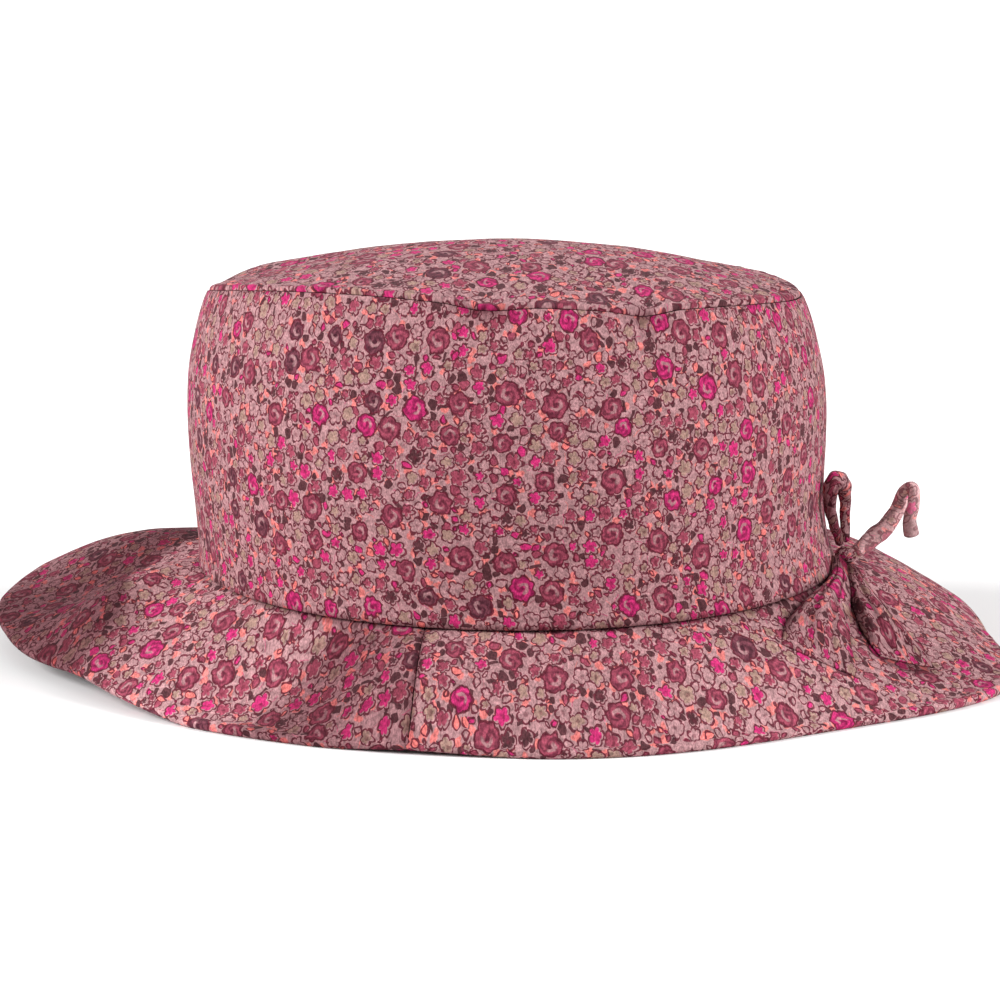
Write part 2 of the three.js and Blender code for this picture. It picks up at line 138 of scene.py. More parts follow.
SIDE_TAIL = (
    # share of the length, x, y, half width, gap to the brim, arch
    (0, 83.3, -18.0, 1.5, 3.2, 0.6), (0.2, 84.5, -26.0, 2.8, 1.8, 1.6),
    (0.4, 85.9, -34.0, 4.6, 0.8, 2.8), (0.6, 87.7, -42.5, 6.2, 0.6, 3.2),
    (0.8, 89.8, -51.0, 7.0, 0.5, 2.0), (1, 92.2, -58.5, 6.6, 0.5, 0.3),
)
TAIL_PLEATS = 3
TAIL_PLEAT = 1.3
PRINT_WIDTH = 1.35  # the bow's cloth for each width that shows, as the rest is in its gathers
PLAN_STEP = 2.0  # between the places in plan where the brim's height is worked out

# Where each piece lies on the printed cloth, along and across it
CLOTH_PLACE = {
    "crown_tip": (400, 300), "brim_right_panel": (1467, 300), "brim_left_panel": (1537, 300),
    "bow_knot": (1700, 40), "bow_loop": (1527, 60), "bow_curl": (1743, 60),
    "bow_tail_front": (2155, 0), "bow_tail_side": (2243, 0),
}
# The cloths of each kind of piece, with how far each is faded towards the cloth's reverse
LAWN = {"printed_cotton_lawn": 0.0}
LAWN_WITH_REVERSE = {"printed_cotton_lawn": 0.0, "cotton_lawn_reverse": 0.55}
BOW_LAWN = {"printed_cotton_bow": 0.0}
# The rolled end's fade towards the paler reverse is partly painted light.
ROLLED_END = {"printed_cotton_rolled_end": 0.22}

# The camera stands where the photograph's did.
CAMERA_HEIGHT_ANGLE = 8.0
CAMERA_DISTANCE = 960.0
CAMERA_TARGET = (1.585, -1.767, 35.5)
CAMERA_LENS = 144.0
SENSOR_WIDTH = 36.0
FLOOR_HALF_WIDTH = 30  # in metres, so that its end doesn't show
PAPER_WHITE = "#f7f7f7"
ROOM_LIGHT = 0.5
SOFTBOXES = (
    # name, azimuth, height angle and spread in degrees, strength
    ("left_softbox", -169, 28, 35, 3.7), ("right_softbox", -14, 28, 35, 3.0),
)


def linear(code):
    """The linear colour of an sRGB hex code."""
    parts = [int(code[i:i + 2], 16) / 255 for i in (1, 3, 5)]
    return tuple(c / 12.92 if c <= 0.04045 else ((c + 0.055) / 1.055) ** 2.4 for c in parts)


def colour_property(name, description, code):
    return FloatVectorProperty(name=name, description=description, subtype="COLOR", size=3,
                               min=0, max=1, default=linear(code))


def size_property(name, description, default):
    """A length in metres, from millimetres."""
    return FloatProperty(name=name, description=description, default=default * MM, min=0,
                         unit="LENGTH", precision=5)


def stretch_property(name, default):
    return FloatProperty(
        name=name, default=default, min=1, max=3,
        description="How much longer the print is from brow to nape than from side to side")


class HatSizes(bpy.types.PropertyGroup):
    crown_wall: size_property("Crown cloth", "Thickness of the crown's cloth", 1.8)
    tip_wall: size_property("Tip cloth", "Thickness of the tip's cloth", 0.9)
    shoulder: size_property("Shoulder", "How round the tip turns down to its seam", 1.1)
    brim_wall: size_property("Brim cloth", "Thickness of the brim's two layers", 2.2)
    bow_wall: size_property("Bow cloth", "Thickness of the bow's wide ends", 0.45)
    pucker: size_property("Puckers", "Height of the small gathers at the seams", 0.34)
    pucker_length: size_property("Pucker length", "How far the gathers run in from a seam", 5.5)
    rose: size_property("Rose", "Radius of the print's roses", 2.75)
    flower: size_property("Flower", "Radius of the print's small flowers", 2.1)
    leaf: size_property("Leaf", "Half the length of the print's leaves and buds", 1.6)
    outline: size_property("Outline", "Width of the print's drawn lines", 0.42)
    thread: size_property("Threads", "Spacing of the weave's threads", 0.5)
    brim_stretch: stretch_property("Print stretch on the brim", 1.8)
    tip_stretch: stretch_property("Print stretch on the tip", 2.6)


class HatColours(bpy.types.PropertyGroup):
    ground: colour_property("Ground", "The cotton between the motifs", "#9f7679")
    magenta: colour_property("Magenta", "The brightest roses and buds", "#b02a62")
    dusty: colour_property("Dusty rose", "The commonest roses and flowers", "#8b3e4f")
    plum: colour_property("Plum", "Dark roses", "#663540")
    leaf: colour_property("Leaf", "Dark leaves", "#4e2b30")
    taupe: colour_property("Taupe", "Greyed flowers", "#94746a")
    coral: colour_property("Coral", "Small bright shards", "#cf6c68")
    line: colour_property("Line", "The drawn outlines", "#561a28")
    reverse: colour_property("Reverse", "The cloth's unprinted side", "#e2c6c3")


def hermite(before, start, end, after, x):
    """A smooth curve from start to end, with the slopes that their neighbours give it."""
    span = end[0] - start[0]
    t = (x - start[0]) / span
    slope_start = (end[1] - before[1]) / (end[0] - before[0])
    slope_end = (after[1] - start[1]) / (after[0] - start[0])
    return ((2 * t ** 3 - 3 * t ** 2 + 1) * start[1] + (3 * t ** 2 - 2 * t ** 3) * end[1]
            + (t ** 3 - 2 * t ** 2 + t) * span * slope_start + (t ** 3 - t ** 2) * span * slope_end)


def along_table(rows, place, column):
    """A smooth curve through rows from the first to the last."""
    at = 0
    while at < len(rows) - 2 and rows[at + 1][0] < place:
        at += 1

    def knot(index):
        row = rows[min(max(index, 0), len(rows) - 1)]
        return row[0], row[column]

    return hermite(knot(at - 1), knot(at), knot(at + 1), knot(at + 2), place)


def all_round(rows):
    """A table's rows for an azimuth from 0 to 360, with those of the turns before and after."""
    return [(row[0] + turn, *row[1:]) for turn in (-360, 0, 360) for row in rows]


TIP_SEAM_ROUND = all_round(TIP_SEAM)
BRIM_EDGE_ROUND = all_round(BRIM_EDGE)


def tip_seam_height(azimuth):
    return along_table(TIP_SEAM_ROUND, azimuth % 360, 1)


def lerp(start, end, share):
    return start + (end - start) * share


def smooth_step(low, high, value):
    t = min(max((value - low) / (high - low), 0), 1)
    return t * t * (3 - 2 * t)


def waver(x, y, seed):
    """Smooth chance between -1 and 1, the same at each run."""
    return noise.noise(Vector((x, y, seed)))


def oval_point(half_width, half_length, shift, azimuth, height):
    angle = math.radians(azimuth)
    reach = 1 / math.hypot(math.cos(angle) / half_width, math.sin(angle) / half_length)
    return Vector((shift + reach * math.cos(angle), reach * math.sin(angle), height))


def base_seam_height(azimuth):
    return BASE_HEIGHT - BASE_DIP * math.sin(math.radians(azimuth)) ** 2


def band_point(azimuth, share):
    """On the crown's side, where share runs from the base seam to the tip seam."""
    width, length, shift = (along_table(CROWN_SECTIONS, share, column) for column in (1, 2, 3))
    height = lerp(base_seam_height(azimuth), tip_seam_height(azimuth), share)
    return oval_point(width, length, shift, azimuth, height)


def tip_point(azimuth, share):
    """On the tip, where share runs from its seam to the middle of the crown."""
    seam = band_point(azimuth, 1)
    shift = CROWN_SECTIONS[-1][3]
    height = lerp(TIP_HEIGHT, seam.z, (1 - share) ** TIP_SETTLE)
    return Vector((lerp(seam.x, shift, share), lerp(seam.y, 0, share),
                   height + DOME * math.sin(share * math.pi / 2)))


def brim_point(azimuth, share, walls):
    """On the brim's upper face, where share runs from the crown to the edge. The walls are
    the thickness of the crown's cloth and of the brim's."""
    crown_wall, brim_wall = walls
    inner = oval_point(BASE_HALF_WIDTH, BASE_HALF_LENGTH, CROWN_SECTIONS[0][3], azimuth,
                       base_seam_height(azimuth) - SEAM_GAP)
    inner -= Vector((inner.x, inner.y, 0)).normalized() * crown_wall
    turned = azimuth + BRIM_TWIST
    reach, lift, bow = (along_table(BRIM_EDGE_ROUND, turned % 360, column)
                        for column in (1, 2, 3))
    angle = math.radians(turned)
    outer = Vector((reach * math.cos(angle), reach * math.sin(angle), lift + brim_wall - BRIM_REST))
    point = inner.lerp(outer, share)
    point.z += 4 * bow * share * (1 - share)
    here = azimuth + BRIM_TWIST * share
    for crown, edge, height, spread in BRIM_FOLDS:
        away = ((here - lerp(crown, edge, share) + 180) % 360 - 180) / spread
        point.z += height * math.exp(-away * away) * math.sin(math.pi * share)
    point.z = max(point.z, brim_wall)
    return point


@functools.lru_cache(maxsize=None)
def brim_height_at(column, row, walls):
    """The height of the brim's upper face at a crossing of the plan's lattice."""
    x, y = column * PLAN_STEP, row * PLAN_STEP
    azimuth = math.degrees(math.atan2(y, x))
    for _ in range(10):
        inner = brim_point(azimuth, 0, walls)
        outer = brim_point(azimuth, 1, walls)
        run = Vector((outer.x - inner.x, outer.y - inner.y))
        share = Vector((x - inner.x, y - inner.y)).dot(run) / run.length_squared
        here = brim_point(azimuth, share, walls)
        azimuth += math.degrees(math.atan2(y, x) - math.atan2(here.y, here.x))
    return here.z


def brim_height(x, y, walls):
    """The height of the brim's upper face at a place in plan."""
    column, row = math.floor(x / PLAN_STEP), math.floor(y / PLAN_STEP)
    right, back = x / PLAN_STEP - column, y / PLAN_STEP - row
    near, far = (lerp(brim_height_at(column, line, walls),
                      brim_height_at(column + 1, line, walls), right) for line in (row, row + 1))
    return lerp(near, far, back)


def tip_dent(azimuth):
    """How deep in one of the puckers under the tip an azimuth lies."""
    return sum(math.exp(-((azimuth - middle) / spread) ** 2) for middle, spread in TIP_DENTS)


def seam_drawn_in(azimuth):
    """How tightly the base seam is pulled. It is slack on the wearer's right front, where the
    crown's cloth runs out into the brim's fold."""
    away = (azimuth - SLACK_SEAM[0] + 180) % 360 - 180
    return 1 - SLACK * math.exp(-(away / SLACK_SEAM[1]) ** 2)


def arc_lengths(steps):
    """Lengths round the crown from azimuth 0, a row for each even step of azimuth."""
    lengths = [0.0]
    last = band_point(0, 0.5)
    for step in range(1, steps + 1):
        here = band_point(360 * step / steps, 0.5)
        lengths.append(lengths[-1] + Vector((here.x - last.x, here.y - last.y)).length)
        last = here
    return lengths


ARC_STEPS = 720
ARC = arc_lengths(ARC_STEPS)


def arc_at(azimuth):
    """The length round the crown at an azimuth, also past a full turn."""
    turns, rest = divmod(azimuth, 360)
    place = rest * ARC_STEPS / 360
    row = int(place)
    return turns * ARC[-1] + lerp(ARC[row], ARC[min(row + 1, ARC_STEPS)], place - row)


def seam_pucker(along, inward, sizes, seed):
    """Height of the gathers at a seam, at a length along it and a distance in from it."""
    height, length = sizes.pucker / MM, sizes.pucker_length / MM
    fade = math.exp(-inward / length) * smooth_step(0, 1.2, inward)
    patchy = 0.6 + 0.9 * waver(along / 24, seed, 3.1)
    small = waver(along / 2.3, inward / 11, seed)
    large = waver(along / 6.5, inward / 16, seed + 7)
    return height * fade * patchy * (1.5 * small + 1.9 * large)


def soft_cockle(x, y, height, seed):
    """The slight unevenness of pressed cotton, over 25 mm and 9 mm."""
    return height * (waver(x / 25, y / 25, seed) + 0.35 * waver(x / 9, y / 9, seed + 5))


def painted_fold_shade_and_light(azimuth, share):
    """How much painted shade darkens the brim's cloth beyond a fold's crease and in the hollow
    before the panel seam, and, below 0, how much painted light pales it between them and on the
    bow's side."""
    here = azimuth + BRIM_TWIST * share
    beyond = along_table(CREASE_LINE, share, 1) - here
    dark = PAINTED_SHADE_BEYOND_CREASE * smooth_step(-1, 6, beyond) * smooth_step(75, 35, beyond)
    into = here - FLUTE_START
    if azimuth < BRIM_SEAMS[1]:
        dark += PAINTED_SHADE_IN_FLUTE * smooth_step(-3, 4, into) * (1 - 0.4 * smooth_step(6, 15, into))
        dark -= PAINTED_LIGHT_ON_BAND * smooth_step(0, 9, -beyond) * smooth_step(2, -7, into)
    else:
        dark -= PAINTED_LIGHT_BY_BOW * smooth_step(36, 52, into) * smooth_step(150, 130, into)
    return dark * smooth_step(0, 0.1, share)


# Round patches under the bow's wide ends, from which their painted shadow spreads over the brim: x,
# y and radius. The front end's hem lies so close to the brim that it has none.
TAIL_DISCS = [
    tuple(along_table(table, reach * step / 18, column) for column in (1, 2, 3))
    for table, reach in ((FRONT_TAIL, 0.76), (SIDE_TAIL, 0.95)) for step in range(1, 19)]


def painted_bow_shadow(x, y):
    """How much painted shadow the bow's wide ends lay on a place on the brim."""
    x, y = x + PAINTED_SHADOW_OFFSET[0], y + PAINTED_SHADOW_OFFSET[1]
    away = min(math.hypot(x - disc_x, y - disc_y) - radius for disc_x, disc_y, radius in TAIL_DISCS)
    return math.exp(-max(away, 0) / PAINTED_SHADOW_REACH)


def brim_cockle(x, y):
    return soft_cockle(x, y, 0.55, seed=71.0)


def in_scene(point):
    """A place in millimetres from the crown's middle, in the scene's metres."""
    return Vector((point.x + FOOTPRINT_SHIFT[0], point.y + FOOTPRINT_SHIFT[1], point.z)) * MM


def cloth_sheet(columns, rows, place, print_place, outwards, shade, corner=None):
    """A sheet from a grid: place gives each point in millimetres from its two shares, and
    print_place its spot on the printed cloth. Shade gives the painted shade that darkens it at
    seams, folds and creases, with painted light where it is below 0, and corner how round its edge
    is turned, in millimetres."""
    sheet = bmesh.new()
    bmesh.ops.create_grid(sheet, x_segments=columns, y_segments=rows, size=0.5)
    cloth = sheet.loops.layers.uv.new("cloth")
    painted_shade_and_light = sheet.verts.layers.float.new("painted_shade_and_light")
    roundness = sheet.verts.layers.float.new("roundness")
    shares = {vert: (vert.co.x + 0.5, vert.co.y + 0.5) for vert in sheet.verts}
    for face in sheet.faces:
        for loop in face.loops:
            loop[cloth].uv = print_place(*shares[loop.vert])
    for vert in sheet.verts:
        share = shares[vert]
        vert[painted_shade_and_light] = shade(*share)
        if corner:
            vert[roundness] = corner(*share) * MM
        vert.co = in_scene(place(*share))
    bmesh.ops.remove_doubles(sheet, verts=sheet.verts[:], dist=1e-6)
    bmesh.ops.dissolve_degenerate(sheet, edges=sheet.edges[:], dist=1e-7)
    sheet.normal_update()
    facing = sum(face.normal.dot(outwards(face.calc_center_median())) * face.calc_area()
                 for face in sheet.faces)
    if facing < 0:
        bmesh.ops.reverse_faces(sheet, faces=sheet.faces[:])
    sheet.normal_update()
    return sheet


def turned_profile(wall, corner, share):
    """How far out and how far down a turned edge runs, at a share of its way round."""
    corner = min(corner, wall / 2)
    bend = math.pi / 2 * corner
    way = share * (2 * bend + wall - 2 * corner)
    if way < bend:
        angle = way / corner
        return corner * math.sin(angle), corner * (1 - math.cos(angle))
    if way < bend + wall - 2 * corner:
        return corner, corner + way - bend
    angle = (way - bend - wall + 2 * corner) / corner
    return corner * math.cos(angle), wall - corner + corner * math.sin(angle)


def thicken(sheet, wall, steps=6, reverse_cloth=False):
    """Turns a sheet into a wall behind it, with its edges turned round. The print runs on
    round them."""
    cloth = sheet.loops.layers.uv["cloth"]
    roundness = sheet.verts.layers.float["roundness"]
    front = sheet.faces[:]
    copied = bmesh.ops.duplicate(sheet, geom=front)
    back = [item for item in copied["geom"] if isinstance(item, bmesh.types.BMFace)]
    behind = {vert: copied["vert_map"][vert] for face in front for vert in face.verts}
    for vert, hidden in behind.items():
        hidden.co = vert.co - vert.normal * wall
        hidden.co.z = max(hidden.co.z, 0)
    bmesh.ops.reverse_faces(sheet, faces=back)
    for face in back:
        face.material_index = 1 if reverse_cloth else 0
    rim = [edge for face in front for edge in face.edges if edge.is_boundary]
    turned = {}
    for edge in rim:
        face = edge.link_faces[0]
        run = (edge.verts[1].co - edge.verts[0].co).normalized()
        out = run.cross(face.normal)
        if out.dot(edge.verts[0].co - face.calc_center_median()) < 0:
            out = -out
        for vert in edge.verts:
            turned[vert] = turned.get(vert, Vector()) + out
    ring = {vert: (vert.co.copy(), behind[vert].co.copy(), out.normalized(), vert[roundness])
            for vert, out in turned.items()}
    for step in range(1, steps + 1):
        grown = bmesh.ops.extrude_edge_only(sheet, edges=rim)["geom"]
        fresh = {item for item in grown if isinstance(item, bmesh.types.BMVert)}
        following = {}
        for vert in fresh:
            source = next(edge.other_vert(vert) for edge in vert.link_edges
                          if edge.other_vert(vert) in ring)
            top, bottom, out, corner = following[vert] = ring[source]
            depth = (bottom - top).length
            outward, down = turned_profile(depth, corner, step / steps)
            vert.co = top + out * outward + (bottom - top).normalized() * down
        for edge in rim:
            lay_print_on(edge, fresh, cloth)
        rim = [item for item in grown if isinstance(item, bmesh.types.BMEdge)
               and item.verts[0] in fresh and item.verts[1] in fresh]
        ring = following
    bmesh.ops.remove_doubles(sheet, verts=sheet.verts[:], dist=2e-6)
    bmesh.ops.recalc_face_normals(sheet, faces=sheet.faces[:])


def lay_print_on(edge, fresh, cloth):
    """Carries the print over an edge, on to the face that has just grown from it."""
    grown = next(face for face in edge.link_faces if any(vert in fresh for vert in face.verts))
    known = next(face for face in edge.link_faces if face is not grown)
    spots = {loop.vert: loop[cloth].uv.copy() for loop in known.loops}
    middle = sum(spots.values(), Vector((0, 0))) / len(spots)
    first, second = (spots[vert] for vert in edge.verts)
    run = second - first
    out = Vector((run.y, -run.x))
    if out.length > 0:
        out.normalize()
    if out.dot(first - middle) < 0:
        out = -out
    for loop in grown.loops:
        if loop.vert in spots:
            loop[cloth].uv = spots[loop.vert]
        else:
            source = next(link.other_vert(loop.vert) for link in loop.vert.link_edges
                          if link.other_vert(loop.vert) in edge.verts)
            loop[cloth].uv = spots[source] + out * (loop.vert.co - source.co).length / MM


def finished_object(name, sheet):
    mesh = bpy.data.meshes.new(name)
    sheet.to_mesh(mesh)
    sheet.free()
    mesh.shade_smooth()
    piece = bpy.data.objects.new(name, mesh)
    bpy.context.scene.collection.objects.link(piece)
    return piece


def up(_centre):
    return Vector((0, 0, 1))


def from_axis(centre):
    return Vector((centre.x, centre.y, 0))


# Kinds of node, most of them with the setting that they always have here. DYED multiplies two
# colours, the math nodes are named for what they work out, and FROM gives how one place lies
# from another.
SEPARATE = "ShaderNodeSeparateXYZ"
RANGE = "ShaderNodeMapRange"
VORONOI = "ShaderNodeTexVoronoi", {"voronoi_dimensions": "2D"}
NOISE = "ShaderNodeTexNoise", {"noise_dimensions": "2D"}
MIX = "ShaderNodeMix", {"data_type": "RGBA"}
DYED = "ShaderNodeMix", {"data_type": "RGBA", "blend_type": "MULTIPLY"}
(PLUS, MINUS, TIMES, OVER, TIMES_PLUS, LEAST, ABOVE, BELOW, SIZE_OF, POWER, PART_OF, SINE,
 COSINE, TURN_OF) = (("ShaderNodeMath", {"operation": operation}) for operation in (
     "ADD", "SUBTRACT", "MULTIPLY", "DIVIDE", "MULTIPLY_ADD", "MINIMUM", "GREATER_THAN",
     "LESS_THAN", "ABSOLUTE", "POWER", "FRACT", "SINE", "COSINE", "ARCTAN2"))
MOVED, FROM, SCALED, DISTANCE, LENGTH = (
    ("ShaderNodeVectorMath", {"operation": operation})
    for operation in ("ADD", "SUBTRACT", "MULTIPLY", "DISTANCE", "LENGTH"))


def add_node(tree, kind, *inputs, named=None, **settings):
    """Adds a node with its settings and the usual ones of its kind. Each input, in its place
    or by its name, is a value, a socket, or a node whose first output in use is linked."""
    kind, usual = (kind, {}) if isinstance(kind, str) else kind
    node = tree.nodes.new(kind)
    for key, value in {**usual, **settings}.items():
        setattr(node, key, value)
    sockets = [socket for socket in node.inputs if socket.enabled]
    by_name = ((node.inputs[key], value) for key, value in (named or {}).items())
    for socket, value in (*zip(sockets, inputs), *by_name):
        if isinstance(value, bpy.types.Node):
            value = next(output for output in value.outputs if output.enabled)
        if isinstance(value, bpy.types.NodeSocket):
            tree.links.new(value, socket)
        else:
            socket.default_value = value
    return node


class Ditsy:
    """Draws the small print's motifs as nodes. All its lengths are in millimetres, and a
    motif is given by how deep a place lies inside it."""

    ROSE_SPACING, ROSE_JITTER = 11.8, 0.8
    FLOWER_SPACING, FLOWER_JITTER = 3.95, 0.6
    BUD_SPACING, BUD_JITTER = 2.15, 0.65
    SHARD_SPACING = 2.7
    SHARD_JITTER = 0.9
    PETAL_FULLNESS = 0.7
    INK_EDGE = 0.09
    LEAST_FLOWER = 1.0
    LEAST_BUD = 0.38

    def __init__(self, tree, sizes):
        self.add = functools.partial(add_node, tree)
        self.rose, self.flower, self.leaf, self.line = (
            getattr(sizes, key) / MM for key in ("rose", "flower", "leaf", "outline"))

    def strewn(self, spot, spacing, jitter):
        """The strewn centre nearest to a spot, its three chances, and how far it is to the
        middle between it and its own neighbour."""
        add = self.add
        cells = add(VORONOI, spot, 1 / spacing, named={"Randomness": jitter})
        room = add(VORONOI, spot, 1 / spacing, jitter, feature="N_SPHERE_RADIUS")
        chances = add("ShaderNodeSeparateColor", cells.outputs["Color"]).outputs
        return cells.outputs["Position"], chances, add(TIMES, room, spacing)

    def motif(self, spot, centre, chances):
        """How a spot lies from a motif's centre, and how far the motif is turned."""
        turn = self.add(TIMES, chances[1], math.tau)
        return self.add(FROM, spot, centre), turn

    def rose_near(self, spot):
        centre, chances, _ = self.strewn(spot, self.ROSE_SPACING, self.ROSE_JITTER)
        radius = self.add(TIMES_PLUS, chances[2], self.rose * 0.3, self.rose * 0.78)
        return centre, chances, radius

    def clear_of(self, centre, motif):
        """How far a centre is from a larger motif's edge."""
        away = self.add(DISTANCE, centre, motif[0])
        return self.add(MINUS, away, motif[2])

    def fitted(self, wanted, rooms, least):
        """A motif's size, no larger than its room, and none where it would be too small."""
        size = wanted
        for room in rooms:
            size = self.add(LEAST, size, room)
        enough = self.add(ABOVE, size, least)
        return self.add(TIMES, size, enough)

    def flower_near(self, spot):
        centre, chances, room = self.strewn(spot, self.FLOWER_SPACING, self.FLOWER_JITTER)
        wanted = self.add(TIMES_PLUS, chances[2], self.flower * 0.35, self.flower * 0.75)
        rooms = (self.add(TIMES, room, 1.08), self.clear_of(centre, self.rose_near(centre)))
        return centre, chances, self.fitted(wanted, rooms, self.LEAST_FLOWER)

    def bud_near(self, spot):
        centre, chances, room = self.strewn(spot, self.BUD_SPACING, self.BUD_JITTER)
        wanted = self.add(TIMES_PLUS, chances[2], self.leaf * 0.5, self.leaf * 0.65)
        roomy = self.add(TIMES, room, 1.85)
        rooms = (roomy, self.clear_of(centre, self.rose_near(centre)),
                 self.clear_of(centre, self.flower_near(centre)))
        return centre, chances, self.fitted(wanted, rooms, self.LEAST_BUD)

    def lobed(self, offset, radius, turn, lobes, depth):
        """A round motif with lobes: its depth, and the distance and the turn from its centre."""
        add = self.add
        reach = add(LENGTH, offset)
        parts = add(SEPARATE, offset).outputs
        angle = add(PLUS, add(TURN_OF, parts[1], parts[0]), turn)
        wave = add(COSINE, add(TIMES, angle, lobes / 2))
        wave = add(POWER, add(SIZE_OF, wave), self.PETAL_FULLNESS)
        edge = add(TIMES_PLUS, wave, depth, 1 - depth)
        edge = add(TIMES, edge, radius)
        return add(MINUS, edge, reach), reach, angle

    def almond(self, offset, turn, half, width=0.66):
        """A bud's or a leaf's depth."""
        add = self.add
        turned = add("ShaderNodeVectorRotate", offset, (0, 0, 0), turn, rotation_type="Z_AXIS")
        parts = add(SEPARATE, turned).outputs
        run = add(OVER, parts[0], half)
        swell = add(TIMES_PLUS, add(TIMES, run, run), -1.0, 1.0)
        swell = add(TIMES, add(TIMES, swell, half), width)
        return add(MINUS, swell, add(SIZE_OF, parts[1]))

    def lay(self, under, colour, depth, keep=1.0, soft=INK_EDGE):
        """Prints a colour over the cloth where the depth is above 0."""
        mask = self.add(RANGE, depth, -soft / 2, soft / 2, 0.0, keep,
                        interpolation_type="SMOOTHSTEP")
        return self.add(MIX, mask, under, colour)

    def drawn(self, under, ink, depth, weight):
        """Draws a motif's outline, with a line that swells and thins."""
        half = self.add(TIMES, weight, self.line / 2)
        away = self.add(SIZE_OF, depth)
        return self.lay(under, ink, self.add(MINUS, half, away), 0.92)

    def picked(self, chance, shares):
        """One of a few colours, picked by chance. Shares are (up to, colour)."""
        node = self.add("ShaderNodeValToRGB", chance)
        ramp = node.color_ramp
        ramp.interpolation = "CONSTANT"
        start = 0.0
        for index, (upto, colour) in enumerate(shares):
            stop = ramp.elements[index] if index < 2 else ramp.elements.new(start)
            stop.position = start
            stop.color = colour
            start = upto
        return node


WEAVE_DEPTH = 0.00004  # in metres
PETAL_SHADE = "#a295a2"  # what dyes a rose's fill where its petals overlap
PAINTED_SHADE_TINT = "#956c79"  # and the tint of the painted shade at seams, folds, creases and beside the bow


def printed_cotton(name, sizes, colours, fade):
    """Plain-weave cotton lawn with a dense small print, pressed but not ironed flat. It is
    matt, with a bare trace of bloom at grazing angles, drawn lines that don't quite meet their
    colours, and fills mottled like ink that sank into the threads. Fade pales the reverse."""
    material = bpy.data.materials.new(name)
    material.use_nodes = True
    tree = material.node_tree
    tree.nodes.clear()
    add = functools.partial(add_node, tree)
    ditsy = Ditsy(tree, sizes)
    line = ditsy.line
    ground, magenta, dusty, plum, leaf, taupe, coral, ink, reverse = (
        (*getattr(colours, key), 1) for key in HatColours.__annotations__)

    cloth = add("ShaderNodeUVMap", uv_map="cloth")
    # Lines drawn by hand wander by a fifth of a millimetre.
    wander = add(NOISE, cloth, named={"Scale": 0.42, "Detail": 1.0})
    sway = add(FROM, wander.outputs["Color"], (0.5, 0.5, 0.5))
    place = add(MOVED, add(SCALED, sway, (1.25, 1.25, 0)), cloth)
    weight = add(RANGE, add(NOISE, cloth, named={"Scale": 0.9, "Detail": 1.0}),
                 0.3, 0.7, 0.72, 1.3)
    misprint = (0.2, -0.15, 0)  # the fills sit this far off their outlines

    # Soft shards of coral on the bare ground
    centre, chances, _ = ditsy.strewn(place, ditsy.SHARD_SPACING, ditsy.SHARD_JITTER)
    offset, turn = ditsy.motif(place, centre, chances)
    shard, _, _ = ditsy.lobed(offset, 1.0, turn, 3, 0.4)
    some = add(BELOW, chances[0], 0.4)
    colour = ditsy.lay(ground, coral, shard, add(TIMES, some, 0.85), 0.4)

    # Leaves and buds
    centre, chances, half = ditsy.bud_near(place)
    offset, turn = ditsy.motif(place, centre, chances)
    shape = ditsy.almond(offset, turn, half)
    filled = ditsy.almond(add(MOVED, offset, misprint), turn, half)
    fill = ditsy.picked(
        chances[0], ((0.25, leaf), (0.38, magenta), (0.62, dusty), (0.91, ground), (1, coral)))
    dark_leaf = add(BELOW, chances[0], 0.24)
    # A dark leaf is larger than its room's bud, and has no outline of its own.
    spread = add(TIMES_PLUS, dark_leaf, 0.3, 0.05)
    colour = ditsy.lay(colour, fill, add(PLUS, filled, spread), soft=0.2)
    outlined = add(MINUS, add(ABOVE, half, 0.1), dark_leaf)
    colour = ditsy.drawn(colour, ink, shape, add(TIMES, weight, outlined))

    # Five-petalled flowers
    centre, chances, radius = ditsy.flower_near(place)
    offset, turn = ditsy.motif(place, centre, chances)
    shape, reach, _ = ditsy.lobed(offset, radius, turn, 5, 0.36)
    filled, _, _ = ditsy.lobed(add(MOVED, offset, misprint), radius, turn, 5, 0.36)
    fill = ditsy.picked(
        chances[0], ((0.26, dusty), (0.44, magenta), (0.7, taupe), (0.93, ground), (1, leaf)))
    colour = ditsy.lay(colour, ground, shape)
    colour = ditsy.lay(colour, fill, add(MINUS, filled, line * 0.8), soft=0.25)
    heart = add(MINUS, 0.42, reach)
    marked = add(ABOVE, chances[2], 0.45)
    present = add(ABOVE, radius, 0.5)
    marked = add(TIMES, add(TIMES, marked, present), 0.5)
    colour = ditsy.lay(colour, ink, heart, marked, 0.3)
    colour = ditsy.drawn(colour, ink, shape, add(TIMES, weight, present))

    # Open roses, with a swirl of darker petals and a pale heart
    centre, chances, radius = ditsy.rose_near(place)
    offset, turn = ditsy.motif(place, centre, chances)
    shape, reach, angle = ditsy.lobed(offset, radius, turn, 7, 0.14)
    fill = ditsy.picked(chances[0], ((0.64, dusty), (0.86, magenta), (1, plum)))
    across = add(OVER, reach, radius)
    arm = add(TIMES, angle, 1.5 / math.pi)
    swirl = add(PART_OF, add(TIMES_PLUS, across, 1.7, arm))
    swirl = add(SIZE_OF, add(MINUS, swirl, 0.45))
    petals = add(MINUS, swirl, 0.27)
    darker = add(DYED, 1.0, fill, (*linear(PETAL_SHADE), 1))
    fill = ditsy.lay(fill, darker, petals, 0.72, 0.3)
    # The pale heart is open to one side, round a dark middle.
    ring = add(SIZE_OF, add(MINUS, across, 0.38))
    ring = add(MINUS, 0.13, ring)
    open_side = add(RANGE, add(COSINE, angle), -0.3, 0.3, 0.0, 0.8)
    fill = ditsy.lay(fill, ground, ring, open_side, 0.1)
    fill = ditsy.lay(fill, darker, add(MINUS, 0.16, across), 0.9, 0.12)
    colour = ditsy.lay(colour, fill, shape)
    colour = ditsy.drawn(colour, ink, shape, weight)

